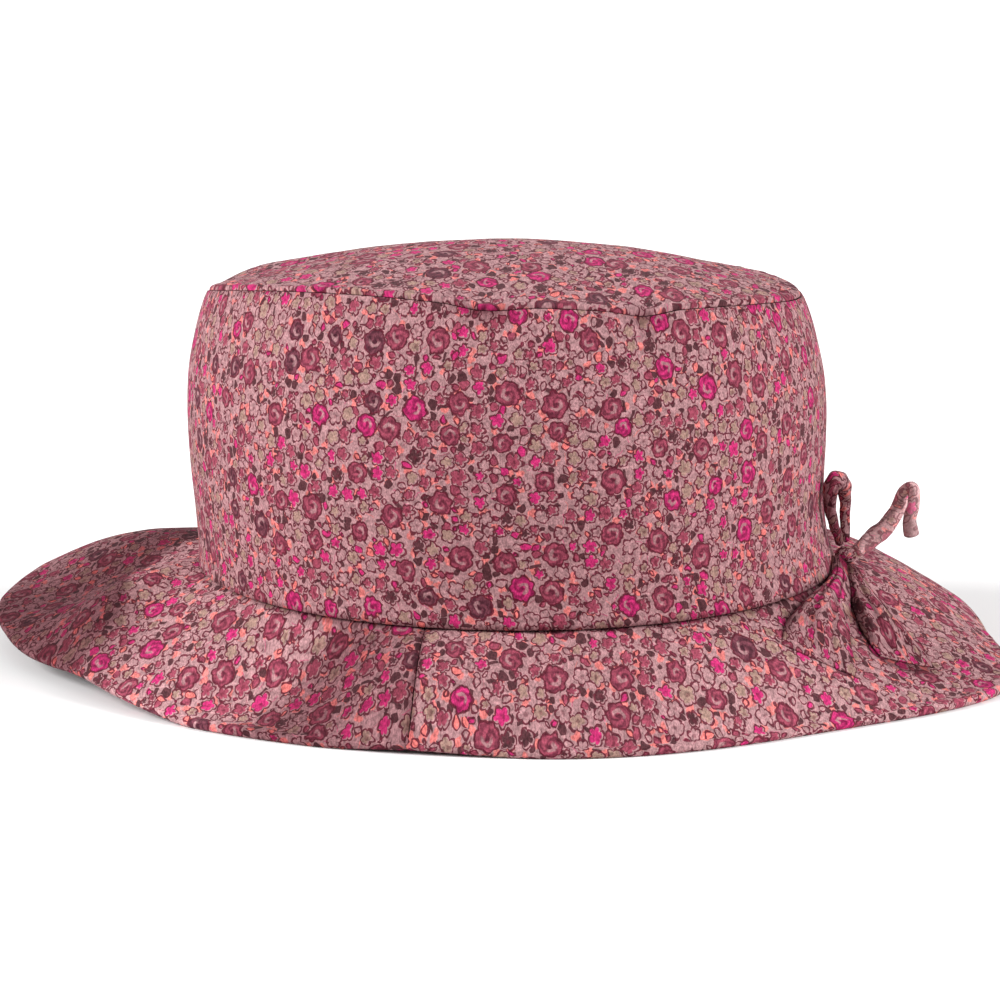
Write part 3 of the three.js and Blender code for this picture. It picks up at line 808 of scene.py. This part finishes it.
    # Ink that sank in unevenly, and single threads that took more or less of it
    mottle = add(RANGE, add(NOISE, cloth, named={"Scale": 0.7, "Detail": 3.0}),
                 0.25, 0.75, 0.7, 1.3)
    thread = sizes.thread / MM
    stretched = add(SCALED, cloth, (1, 0.75, 1))
    grain = add(RANGE, add(NOISE, stretched, named={"Scale": 1.3 / thread, "Detail": 2.0}),
                0.2, 0.8, 0.55, 1.45)
    uneven = add(TIMES, mottle, grain)
    colour = add(DYED, 1.0, colour, uneven)
    # Painted shade darkens the cloth at seams, creases, folds and beside the bow's ends, and
    # painted light pales it where the attribute is below 0.
    seam = add("ShaderNodeAttribute", attribute_name="painted_shade_and_light").outputs["Fac"]
    shaded = add(DYED, 1.0, colour, (*linear(PAINTED_SHADE_TINT), 1))
    colour = add(MIX, seam, colour, shaded, clamp_factor=False)
    if fade:
        colour = add(MIX, fade, colour, reverse)

    # The weave is drawn at half a millimetre, coarser than the real quarter, so that it shows.
    parts = add(SEPARATE, cloth).outputs
    turns = math.tau / thread
    warp = add(SINE, add(TIMES, parts[0], turns))
    weft = add(SINE, add(TIMES, parts[1], turns))
    weave = add(TIMES, warp, weft)
    bump = add("ShaderNodeBump", 0.35, WEAVE_DEPTH, named={"Height": weave})
    rough = add(RANGE, mottle, 0.7, 1.3, 0.94, 0.8)
    shader = add("ShaderNodeBsdfPrincipled", named={
        "Base Color": colour, "Roughness": rough, "Normal": bump, "Specular IOR Level": 0.08,
        "Sheen Weight": 0.02, "Sheen Roughness": 0.5})
    add("ShaderNodeOutputMaterial", shader)
    return material


def stand_in(context, sheet, node, cloths):
    """Makes a sheet a piece of its cloths, each of them made once, and stands it in for its
    node."""
    piece = finished_object(node + "_cotton", sheet)
    scene = context.scene
    for name, fade in cloths.items():
        cloth = bpy.data.materials.get(name) or printed_cotton(
            name, scene.rain_hat_sizes, scene.rain_hat_colours, fade)
        piece.data.materials.append(cloth)
    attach(piece, BODY)
    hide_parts(node)
    return piece


class Undoable:
    """What the operators have in common"""
    bl_options = {"REGISTER", "UNDO"}


class RAINHAT_OT_crown_tip(Undoable, bpy.types.Operator):
    """Model the oval tip, which turns down over its seam"""
    bl_idname = "rainhat.crown_tip"
    bl_label = "Crown Tip"

    def execute(self, context):
        sizes = context.scene.rain_hat_sizes
        turn = sizes.shoulder / MM
        bend = turn * math.pi / 2
        reach = (CROWN_SECTIONS[-1][1] + CROWN_SECTIONS[-1][2]) / 2

        def way(inwards):
            """Along the cloth from the seam, with the rows close together at the turn."""
            return inwards ** 1.6 * (reach - turn + bend)

        def place(around, inwards):
            azimuth = 360 * around
            angle = min(way(inwards) / turn, math.pi / 2)
            inward = turn * (1 - math.cos(angle)) + max(way(inwards) - bend, 0)
            point = tip_point(azimuth, min(inward / reach, 1))
            point.z -= turn * (1 - math.sin(angle))
            point.z += seam_pucker(arc_at(azimuth), max(inward - turn, 0), sizes, seed=21.0)
            point.z += soft_cockle(point.x, point.y, 0.35, seed=11.0) * smooth_step(0, 8, inward)
            return point

        def print_place(around, inwards):
            outward = 1 - way(inwards) / reach
            seam = band_point(360 * around, 1)
            start = CLOTH_PLACE["crown_tip"]
            return seam.x * outward + start[0], seam.y * outward / sizes.tip_stretch + start[1]

        def shade(around, inwards):
            # Painted shade in the puckers under the tip's edge
            return 0.7 * tip_dent(360 * around) * math.exp(-way(inwards) / 2)

        sheet = cloth_sheet(320, 64, place, print_place, up, shade, lambda *_: TIP_SEAM_CORNER)
        thicken(sheet, sizes.tip_wall, reverse_cloth=True)
        stand_in(context, sheet, "crown_tip", LAWN_WITH_REVERSE)
        return {"FINISHED"}


class RAINHAT_OT_crown_band(Undoable, bpy.types.Operator):
    """Model the crown's side, gathered a little at both of its seams"""
    bl_idname = "rainhat.crown_band"
    bl_label = "Crown Band"

    def execute(self, context):
        sizes = context.scene.rain_hat_sizes
        under = SEAM_CORNER + SEAM_LINE - SEAM_GAP  # from the base seam up to the turned edge
        over = sizes.shoulder / MM + TIP_SEAM_CORNER * 2 + TIP_SEAM_LINE  # and down from the tip's

        def heights(azimuth, upwards):
            """The whole height there, and how far a row is from the lower and the upper edge."""
            height = tip_seam_height(azimuth) - base_seam_height(azimuth)
            cloth = height - under - over
            return height, upwards * cloth, (1 - upwards) * cloth

        def place(around, upwards):
            azimuth = 360 * around
            height, above, below = heights(azimuth, upwards)
            point = band_point(azimuth, (above + under) / height)
            outward = Vector((point.x, point.y, 0)).normalized()
            along = arc_at(azimuth)
            relief = seam_pucker(along, above, sizes, seed=31.0)
            relief += seam_pucker(along, below, sizes, seed=41.0)
            # The unevenness comes back to its start after a turn, but for a slow drift.
            across = 60 * math.cos(math.radians(azimuth)) + along / 9
            off_seams = smooth_step(0, 9, above) * smooth_step(0, 7, below)
            relief += soft_cockle(across, above, 0.4, seed=51.0) * off_seams
            # The lower edge is drawn in towards its seam.
            relief -= 0.2 * seam_drawn_in(azimuth) * math.exp(-(above / 1.6) ** 2)
            dent = tip_dent(azimuth) * math.exp(-(below / 2.2) ** 2) * smooth_step(0, 0.6, below)
            relief -= 0.7 * dent
            return point + outward * relief

        def print_place(around, upwards):
            return arc_at(360 * around), heights(360 * around, upwards)[1]

        def shade(around, upwards):
            _, above, below = heights(360 * around, upwards)
            # Painted shade along the base seam's groove, and in the puckers under the tip
            base = 0.6 * seam_drawn_in(360 * around) * (1 - smooth_step(0, 0.6, above))
            return base + 0.9 * tip_dent(360 * around) * math.exp(-below / 2)

        def corner(_around, upwards):
            return lerp(SEAM_CORNER, TIP_SEAM_CORNER, upwards)

        sheet = cloth_sheet(380, 60, place, print_place, from_axis, shade, corner)
        thicken(sheet, sizes.crown_wall, reverse_cloth=True)
        stand_in(context, sheet, "crown_band", LAWN_WITH_REVERSE)
        return {"FINISHED"}


def brim_panel(context, name, start, end, seed):
    """A panel of the brim, from one seam's azimuth to the other's."""
    sizes = context.scene.rain_hat_sizes
    walls = sizes.crown_wall / MM, sizes.brim_wall / MM
    wall = walls[1]
    slit = math.degrees((SEAM_CORNER + SEAM_LINE / 2) / (BASE_HALF_LENGTH + BRIM_WIDTH / 2))
    full = 1 - wall / 2 / BRIM_WIDTH  # the rest is the turned edge

    def azimuth_at(around):
        return lerp(start + slit, end - slit, around)

    def off_seam(azimuth, reach):
        return math.radians(min(azimuth - start, end - azimuth)) * reach

    def corner(_around, outwards):
        return lerp(SEAM_CORNER, wall / 2, smooth_step(0.97, 1, outwards))

    def place(around, outwards):
        azimuth = azimuth_at(around)
        outwards *= full
        point = brim_point(azimuth, outwards, walls)
        from_crown = outwards * BRIM_WIDTH
        to_seam = off_seam(azimuth, math.hypot(point.x, point.y))
        relief = seam_pucker(arc_at(azimuth), from_crown, sizes, seed=61.0)
        relief += 0.5 * seam_pucker(from_crown, to_seam, sizes, seed)
        flat = smooth_step(wall + 0.1, wall + 3.5, point.z)
        relief += brim_cockle(point.x, point.y) * flat * smooth_step(2, 12, from_crown)
        relief -= 0.3 * math.exp(-(to_seam / 1.2) ** 2) * flat
        point.z = max(point.z + relief * max(flat, 0.15), wall)
        return point

    def print_place(around, outwards):
        point = brim_point(azimuth_at(around), outwards, walls)
        across, along = CLOTH_PLACE[name]
        return across + point.x, along + point.y / sizes.brim_stretch

    def shade(around, outwards):
        azimuth = azimuth_at(around)
        to_seam = off_seam(azimuth, lerp(BASE_HALF_WIDTH + 14, BRIM_REACH, outwards))
        # Painted shade in the panel seam's groove and along the base seam, fainter where that seam
        # is slack, painted shadow beside the bow's ends, and the folds' painted shade and light
        seam = 0.8 * (1 - smooth_step(0.1, 0.6, to_seam))
        crown = 0.6 * seam_drawn_in(azimuth) * (1 - smooth_step(0.02, 0.06, outwards))
        point = brim_point(azimuth, outwards * full, walls)
        bow = 0.75 * painted_bow_shadow(point.x, point.y)
        dark = painted_fold_shade_and_light(azimuth, outwards)
        return dark + (1 - dark) * max(seam, crown, bow)

    sheet = cloth_sheet(260, 64, place, print_place, up, shade, corner)
    thicken(sheet, sizes.brim_wall, steps=8)
    stand_in(context, sheet, name, LAWN)


class RAINHAT_OT_brim(Undoable, bpy.types.Operator):
    """Model the brim's two panels with their folds and the seams between them"""
    bl_idname = "rainhat.brim"
    bl_label = "Brim"

    def execute(self, context):
        right, left = BRIM_SEAMS
        brim_panel(context, "brim_right_panel", right, left, seed=81.0)
        brim_panel(context, "brim_left_panel", left, right + 360, seed=91.0)
        return {"FINISHED"}


class RAINHAT_OT_bow_knot(Undoable, bpy.types.Operator):
    """Model the small knot that the bow is gathered in"""
    bl_idname = "rainhat.bow_knot"
    bl_label = "Bow Knot"

    def execute(self, context):
        def between_wraps(turn, lean):
            """How near a place is to where two of the three wraps meet."""
            return 1 - abs(math.cos(3 * lean + 0.5 * math.sin(turn)))

        def place(around, across):
            turn, lean = math.tau * around, math.pi * across
            direction = (math.sin(lean) * math.cos(turn), math.cos(lean),
                         math.sin(lean) * math.sin(turn))
            # Each of the wraps has a soft crease of its own.
            crease = 0.25 * waver(4 * math.cos(turn) + 5, 6 * across, 4.0)
            grow = 0.5 - 0.06 * between_wraps(turn, lean) ** 2 * math.sin(lean) + 0.05 * crease
            return Vector([centre + size * axis * grow for centre, size, axis
                           in zip(KNOT_CENTRE, KNOT_SIZE, direction)])

        def print_place(around, across):
            start = CLOTH_PLACE["bow_knot"]
            return start[0] + KNOT_CLOTH[0] * around, start[1] + KNOT_CLOTH[1] * across

        def shade(around, across):
            # Painted shade in the creases where the wraps meet
            return 0.5 * smooth_step(0.7, 1, between_wraps(math.tau * around, math.pi * across))

        middle = in_scene(Vector(KNOT_CENTRE))
        sheet = cloth_sheet(72, 48, place, print_place, lambda centre: centre - middle, shade)
        stand_in(context, sheet, "bow_knot", BOW_LAWN)
        return {"FINISHED"}


def roll_frames(table, steps):
    """Even places along a smooth curve through the table, each with its thickness, and two
    directions across it that turn as little as they can."""
    spline = [Vector(row[:3]) for row in table]

    def at(parameter):
        index = min(int(parameter), len(spline) - 2)
        t = parameter - index
        p1, p2 = spline[index], spline[index + 1]
        p0 = spline[index - 1] if index else p1 * 2 - p2
        p3 = spline[index + 2] if index + 2 < len(spline) else p2 * 2 - p1
        point = 0.5 * (2 * p1 + (p2 - p0) * t + (2 * p0 - 5 * p1 + 4 * p2 - p3) * t ** 2
                       + (3 * p1 - p0 - 3 * p2 + p3) * t ** 3)
        return point, lerp(table[index][3], table[index + 1][3], t)

    fine = [at(i * (len(table) - 1) / (steps * 8)) for i in range(steps * 8 + 1)]
    lengths = [0.0]
    for (here, _), (after, _) in zip(fine, fine[1:]):
        lengths.append(lengths[-1] + (after - here).length)
    places = []
    row = 0
    for step in range(steps + 1):
        goal = lengths[-1] * step / steps
        while row < len(fine) - 2 and lengths[row + 1] < goal:
            row += 1
        share = (goal - lengths[row]) / (lengths[row + 1] - lengths[row])
        places.append((fine[row][0].lerp(fine[row + 1][0], share),
                       lerp(fine[row][1], fine[row + 1][1], share)))
    frames = []
    side = None
    for step, (point, thick) in enumerate(places):
        before = places[max(step - 1, 0)][0]
        after = places[min(step + 1, steps)][0]
        along = (after - before).normalized()
        side = (side or along.orthogonal()) - along * (side or along.orthogonal()).dot(along)
        side.normalize()
        frames.append((point, thick, side.copy(), along.cross(side)))
    return frames, lengths[-1]


def roll(context, name, table, twist, seed, painted_shade_and_light_along, cloths):
    """A strand of rolled cloth along a table's line. A function of the share along it gives the
    painted shade there, with painted light where it is below 0."""
    steps = 150
    frames, length = roll_frames(table, steps)
    cap = 3  # steps over which an end is rounded

    def place(around, along):
        step = min(round(along * steps), steps)
        point, thick, side, over = frames[step]
        turn = math.tau * (around + twist * along)
        # The roll's last turn laps over the one before, and its edge makes a step.
        lapped = 0.94 + 0.14 * ((around + LAP) % 1)
        folds = 0.05 * waver(3 * around * math.tau, along * length / 2.6, seed)
        twistings = 0.05 * math.sin(3 * turn + along * length * 1.1)
        end = min(step, steps - step) / cap
        round_end = math.sqrt(max(1 - (1 - min(end, 1)) ** 2, 0))
        radius = thick / 2 * min(lapped + folds + twistings, 1.12) * round_end
        return point + (side * math.cos(turn) + over * math.sin(turn)) * radius

    def print_place(around, along):
        start = CLOTH_PLACE[name]
        return start[0] + around * ROLL_CLOTH, start[1] + along * length

    def shade(around, along):
        lap = min((around + LAP) % 1, 1 - (around + LAP) % 1)
        dark = painted_shade_and_light_along(along)
        # Painted shade along the step where the roll's edge laps over
        return dark + (1 - dark) * 0.7 * (1 - smooth_step(0.01, 0.06, lap))

    middles = [in_scene(each[0]) for each in frames]

    def away(centre):
        return centre - min(middles, key=lambda middle: (middle - centre).length_squared)

    sheet = cloth_sheet(40, steps, place, print_place, away, shade)
    stand_in(context, sheet, name, cloths)


class RAINHAT_OT_bow_rolls(Undoable, bpy.types.Operator):
    """Model the bow's small loop and the end that curls over, both of rolled cloth"""
    bl_idname = "rainhat.bow_rolls"
    bl_label = "Bow Rolls"

    def execute(self, context):
        # The loop's strand beside the crown gets painted shade.
        roll(context, "bow_loop", LOOP_ROLL, twist=1.6, seed=3.0, cloths=BOW_LAWN,
             painted_shade_and_light_along=lambda along: 0.65 * smooth_step(0.5, 0.62, along))
        # The end gets painted light along most of its length, and its print is faded a little
        # towards the cloth's paler reverse, partly for the reverse that shows outside and partly as
        # more painted light.
        roll(context, "bow_curl", CURL_ROLL, twist=0.8, seed=27.0, cloths=ROLLED_END,
             painted_shade_and_light_along=lambda along: -1.5 * smooth_step(0.95, 0.6, along))
        return {"FINISHED"}


def wide_end(context, name, table, seed):
    """A wide end of the bow along a table's line: the piece and its length."""
    sizes = context.scene.rain_hat_sizes
    walls = sizes.crown_wall / MM, sizes.brim_wall / MM
    wall = sizes.bow_wall / MM

    def middle(along, column):
        return along_table(table, along, column)

    def spot(along):
        return Vector((middle(along, 1), middle(along, 2)))

    def place(across_share, along):
        run = (spot(min(1, along + 0.02)) - spot(max(0, along - 0.02))).normalized()
        across = 2 * across_share - 1
        half = middle(along, 3)
        x = middle(along, 1) + run.y * across * half
        y = middle(along, 2) - run.x * across * half
        free = along * (1 - along ** 4)  # the gathers fade out towards the hem
        pleat = TAIL_PLEAT * free * abs(math.sin(TAIL_PLEATS * math.pi * across_share))
        fine = 0.3 * waver(across * 5 + seed, along * 3, seed) * (0.3 + free)
        fine += 0.16 * waver(across * 11, along * 5, seed + 3) * (1 - 0.4 * along)
        settled = 1 - 0.9 * smooth_step(0.75, 1, along)  # the hem lies on the brim
        height = middle(along, 4) + middle(along, 5) * math.cos(across * math.pi / 2)
        height = height * settled + pleat
        below = brim_height(x, y, walls) + brim_cockle(x, y)
        return Vector((x, y, below + height + fine * smooth_step(1, 0.85, along) + wall))

    line = [spot(step / 40) for step in range(41)]
    length = sum((after - before).length for before, after in zip(line, line[1:]))

    def print_place(across_share, along):
        across = (2 * across_share - 1) * middle(along, 3) * PRINT_WIDTH
        return CLOTH_PLACE[name][0] + across, along * length / sizes.brim_stretch

    def shade(across_share, along):
        # Painted shade in the gathers' valleys near the knot, along both edges, stronger on one,
        # and where the end is tied into the knot
        across = 2 * across_share - 1
        valley = (1 + math.cos(TAIL_PLEATS * math.pi * (across + 1))) / 2
        near_knot = 1 - smooth_step(0.1, 0.95, along)
        edge = smooth_step(0.7, 1, abs(across)) * smooth_step(1, 0.85, along)
        edge *= 0.8 if across > 0 else 0.45
        tied = 0.9 * smooth_step(0.18, 0.06, along)
        return max(0.85 * smooth_step(0.65, 1, valley) * near_knot, edge, tied)

    sheet = cloth_sheet(72, 110, place, print_place, up, shade, lambda *_: wall / 2)
    thicken(sheet, wall * MM)
    return stand_in(context, sheet, name, BOW_LAWN), length


class RAINHAT_OT_bow_ends(Undoable, bpy.types.Operator):
    """Model the bow's two wide ends, gathered at the knot and lying over the brim"""
    bl_idname = "rainhat.bow_ends"
    bl_label = "Bow Ends"

    def execute(self, context):
        for name, table, seed, width, area in (
                ("bow_tail_front", FRONT_TAIL, 5.0, 0.020, 0.00075),
                ("bow_tail_side", SIDE_TAIL, 13.0, 0.016, 0.0005)):
            piece, length = wide_end(context, name, table, seed)
        return {"FINISHED"}


class RAINHAT_OT_stage(Undoable, bpy.types.Operator):
    """Set up the pale floor, the soft lights and the camera"""
    bl_idname = "rainhat.stage"
    bl_label = "Stage"

    def execute(self, context):
        scene = context.scene
        target = Vector(CAMERA_TARGET) * MM
        rise = math.radians(CAMERA_HEIGHT_ANGLE)
        lens = bpy.data.cameras.new("camera")
        lens.lens = CAMERA_LENS
        lens.sensor_width = SENSOR_WIDTH
        camera = bpy.data.objects.new("camera", lens)
        away = Vector((0, -math.cos(rise), math.sin(rise)))
        camera.location = target + away * CAMERA_DISTANCE * MM
        camera.rotation_euler = (math.pi / 2 - rise, 0, 0)
        scene.collection.objects.link(camera)
        scene.camera = camera

        floor_mesh = bmesh.new()
        bmesh.ops.create_grid(floor_mesh, x_segments=1, y_segments=1, size=FLOOR_HALF_WIDTH)
        floor = finished_object("floor", floor_mesh)
        paper = bpy.data.materials.new("white_paper_floor")
        paper.use_nodes = True
        shader = paper.node_tree.nodes["Principled BSDF"]
        shader.inputs["Base Color"].default_value = (*linear(PAPER_WHITE), 1)
        shader.inputs["Roughness"].default_value = 0.9
        shader.inputs["Specular IOR Level"].default_value = 0.1
        floor.data.materials.append(paper)

        world = bpy.data.worlds.new("soft_white_room")
        world.use_nodes = True
        colour, strength = world.node_tree.nodes["Background"].inputs[:2]
        colour.default_value = (1, 1, 1, 1)
        strength.default_value = ROOM_LIGHT
        scene.world = world

        for name, azimuth, elevation, spread, strength in SOFTBOXES:
            lamp = bpy.data.lights.new(name, "SUN")
            lamp.angle = math.radians(spread)
            lamp.energy = strength
            light = bpy.data.objects.new(name, lamp)
            turn, height = math.radians(azimuth), math.radians(elevation)
            away = Vector((math.cos(turn) * math.cos(height),
                           math.sin(turn) * math.cos(height), math.sin(height)))
            light.rotation_euler = (-away).to_track_quat("-Z", "Y").to_euler()
            scene.collection.objects.link(light)
        scene.view_settings.view_transform = "Standard"
        return {"FINISHED"}


class RAINHAT_PT_panel(bpy.types.Panel):
    """The hat's sizes, colours and pieces"""
    bl_idname = "RAINHAT_PT_panel"
    bl_label = "Rain Hat"
    bl_space_type = "VIEW_3D"
    bl_region_type = "UI"
    bl_category = "Rain Hat"

    def draw(self, context):
        for group in (context.scene.rain_hat_sizes, context.scene.rain_hat_colours):
            box = self.layout.box()
            for name in group.__annotations__:
                box.prop(group, name)
        for operator in OPERATORS:
            self.layout.operator(operator.bl_idname)


OPERATORS = (RAINHAT_OT_stage, RAINHAT_OT_crown_band, RAINHAT_OT_crown_tip, RAINHAT_OT_brim,
             RAINHAT_OT_bow_knot, RAINHAT_OT_bow_rolls, RAINHAT_OT_bow_ends)
CLASSES = (HatSizes, HatColours, *OPERATORS, RAINHAT_PT_panel)


def register():
    for each in CLASSES:
        bpy.utils.register_class(each)
    bpy.types.Scene.rain_hat_sizes = PointerProperty(type=HatSizes)
    bpy.types.Scene.rain_hat_colours = PointerProperty(type=HatColours)


def unregister():
    del bpy.types.Scene.rain_hat_colours
    del bpy.types.Scene.rain_hat_sizes
    for each in reversed(CLASSES):
        bpy.utils.unregister_class(each)


def main():
    register()
    for operator in OPERATORS:
        group, name = operator.bl_idname.split(".")
        getattr(getattr(bpy.ops, group), name)()


if __name__ == "__main__":
    main()
